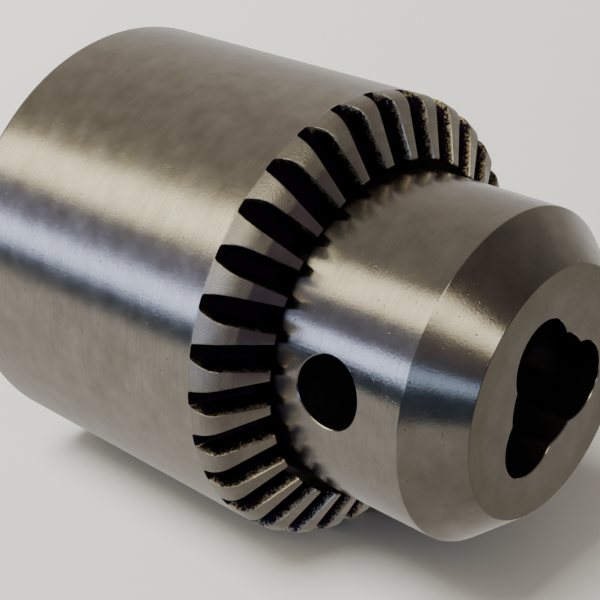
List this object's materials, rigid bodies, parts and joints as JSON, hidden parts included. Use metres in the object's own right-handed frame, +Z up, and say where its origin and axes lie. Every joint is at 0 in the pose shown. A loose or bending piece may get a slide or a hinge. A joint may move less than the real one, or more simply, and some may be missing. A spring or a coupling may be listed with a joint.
{
  "type": "keyed drill chuck",
  "caption": "Keyed drill chuck: toothed sleeve, turned body with coned nose, inclined jaws driven by a split nut on a ball thrust race, threaded spindle socket.",
  "frame": {"origin": "centre of the body's rear face, at the mouth of the spindle socket", "axes": "+X along the chuck's axis from the spindle to the nose, +Z up with the chuck lying on its sleeve"},
  "size_m": [0.0551, 0.0424, 0.0424],
  "materials": {
    "turned_steel": "satin turned steel with fine circumferential tool marks",
    "sleeve_steel": "satin turned steel, darkened and rough in the tooth spaces",
    "nut_steel": "oiled dark steel",
    "jaw_steel": "hardened and ground, dark between the threads",
    "race_steel": "ground bearing steel",
    "ball_steel": "polished bearing steel",
    "cage_brass": "pressed brass"
  },
  "bodies": {
    "chuck": {"chuck_body": "turned_steel", "rear_race": "race_steel"},
    "sleeve": {"toothed_sleeve": "sleeve_steel", "nut_half_a": "nut_steel", "nut_half_b": "nut_steel", "front_race": "race_steel"},
    "ball_ring": {"ball_cage": "cage_brass", "thrust_ball_01": "ball_steel", "thrust_ball_02": "ball_steel", "thrust_ball_03": "ball_steel", "thrust_ball_04": "ball_steel", "thrust_ball_05": "ball_steel", "thrust_ball_06": "ball_steel", "thrust_ball_07": "ball_steel", "thrust_ball_08": "ball_steel", "thrust_ball_09": "ball_steel", "thrust_ball_10": "ball_steel", "thrust_ball_11": "ball_steel", "thrust_ball_12": "ball_steel", "thrust_ball_13": "ball_steel", "thrust_ball_14": "ball_steel", "thrust_ball_15": "ball_steel", "thrust_ball_16": "ball_steel", "thrust_ball_17": "ball_steel", "thrust_ball_18": "ball_steel", "thrust_ball_19": "ball_steel", "thrust_ball_20": "ball_steel", "thrust_ball_21": "ball_steel", "thrust_ball_22": "ball_steel", "thrust_ball_23": "ball_steel", "thrust_ball_24": "ball_steel"},
    "jaw_1": {"jaw_1": "jaw_steel"},
    "jaw_2": {"jaw_2": "jaw_steel"},
    "jaw_3": {"jaw_3": "jaw_steel"}
  },
  "joints": [
    {"name": "sleeve_turn", "type": "hinge", "parent": "chuck", "child": "sleeve", "pos_m": [0.02, 0, 0], "axis": [-1, 0, 0], "range_deg": [0, 3600]},
    {"name": "ball_ring_turn", "type": "hinge", "parent": "chuck", "child": "ball_ring", "pos_m": [0.0232, 0, 0], "axis": [-1, 0, 0], "range_deg": [0, 1800]},
    {"name": "jaw_1_slide", "type": "slide", "parent": "chuck", "child": "jaw_1", "axis": [0.9703, 0.0957, -0.2222], "range_m": [0, 0.0195]},
    {"name": "jaw_2_slide", "type": "slide", "parent": "chuck", "child": "jaw_2", "axis": [0.9703, 0.1446, 0.194], "range_m": [0, 0.0195]},
    {"name": "jaw_3_slide", "type": "slide", "parent": "chuck", "child": "jaw_3", "axis": [0.9703, -0.2403, 0.0282], "range_m": [0, 0.0195]}
  ],
  "couplings": [
    {"joint": "ball_ring_turn", "follows": "sleeve_turn", "ratio": 0.5},
    {"joint": "jaw_1_slide", "follows": "sleeve_turn", "m_per_rad": 0.00031035},
    {"joint": "jaw_2_slide", "follows": "sleeve_turn", "m_per_rad": 0.00031035},
    {"joint": "jaw_3_slide", "follows": "sleeve_turn", "m_per_rad": 0.00031035}
  ]
}
